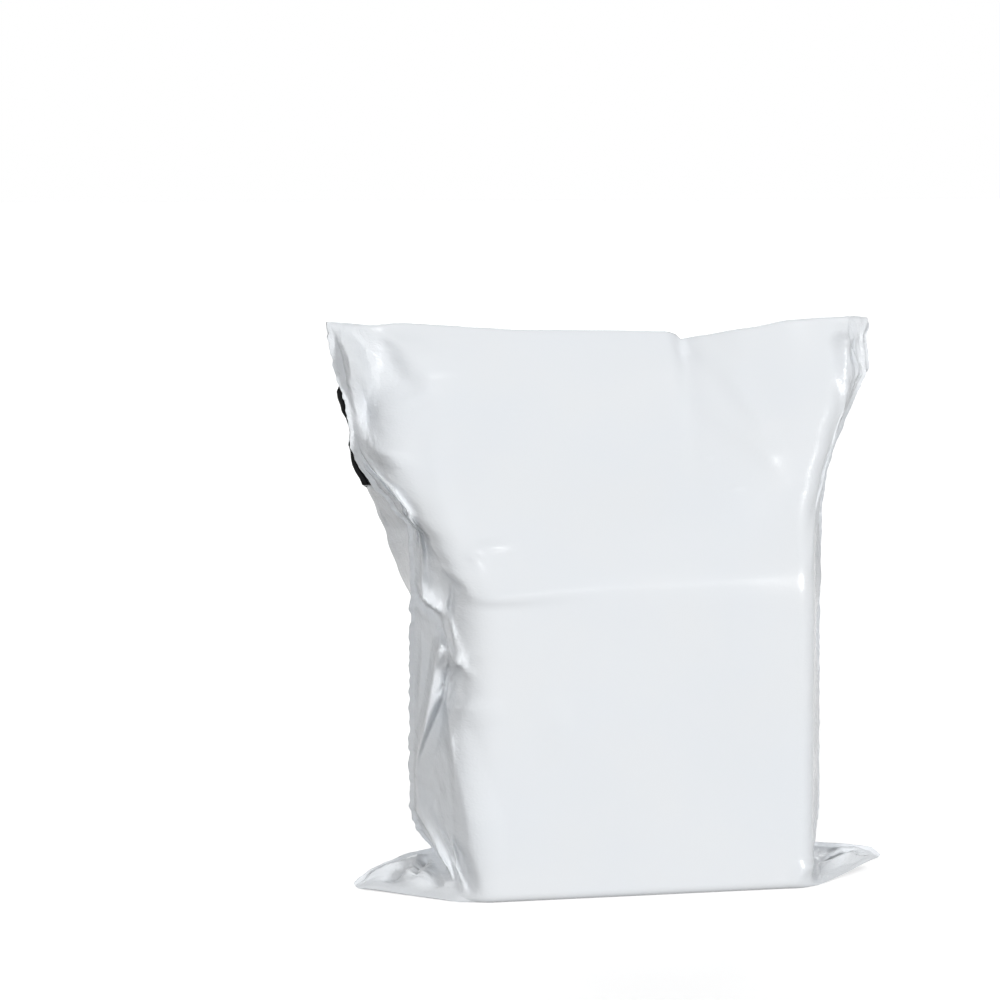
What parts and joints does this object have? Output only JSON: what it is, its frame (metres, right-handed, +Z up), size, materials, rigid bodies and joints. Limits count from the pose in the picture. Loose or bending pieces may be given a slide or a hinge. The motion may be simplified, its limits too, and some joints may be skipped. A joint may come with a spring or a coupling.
{
  "type": "poly mailer bag",
  "caption": "Packed and sealed mailer of white plastic film that stands upright, with crumpled sides, ears beside the foot and the mouth folded back behind the top edge.",
  "frame": {"origin": "on the ground, below the middle of the bag's bounding box", "axes": "+X to the right seen from the front, -Y out of the front panel, +Z up"},
  "size_m": [0.2642, 0.085, 0.261],
  "materials": {
    "white_film": "glossy white polyethylene film, black on its inner face"
  },
  "bodies": {
    "root": {"mailer_bag": "white_film"}
  },
  "joints": []
}
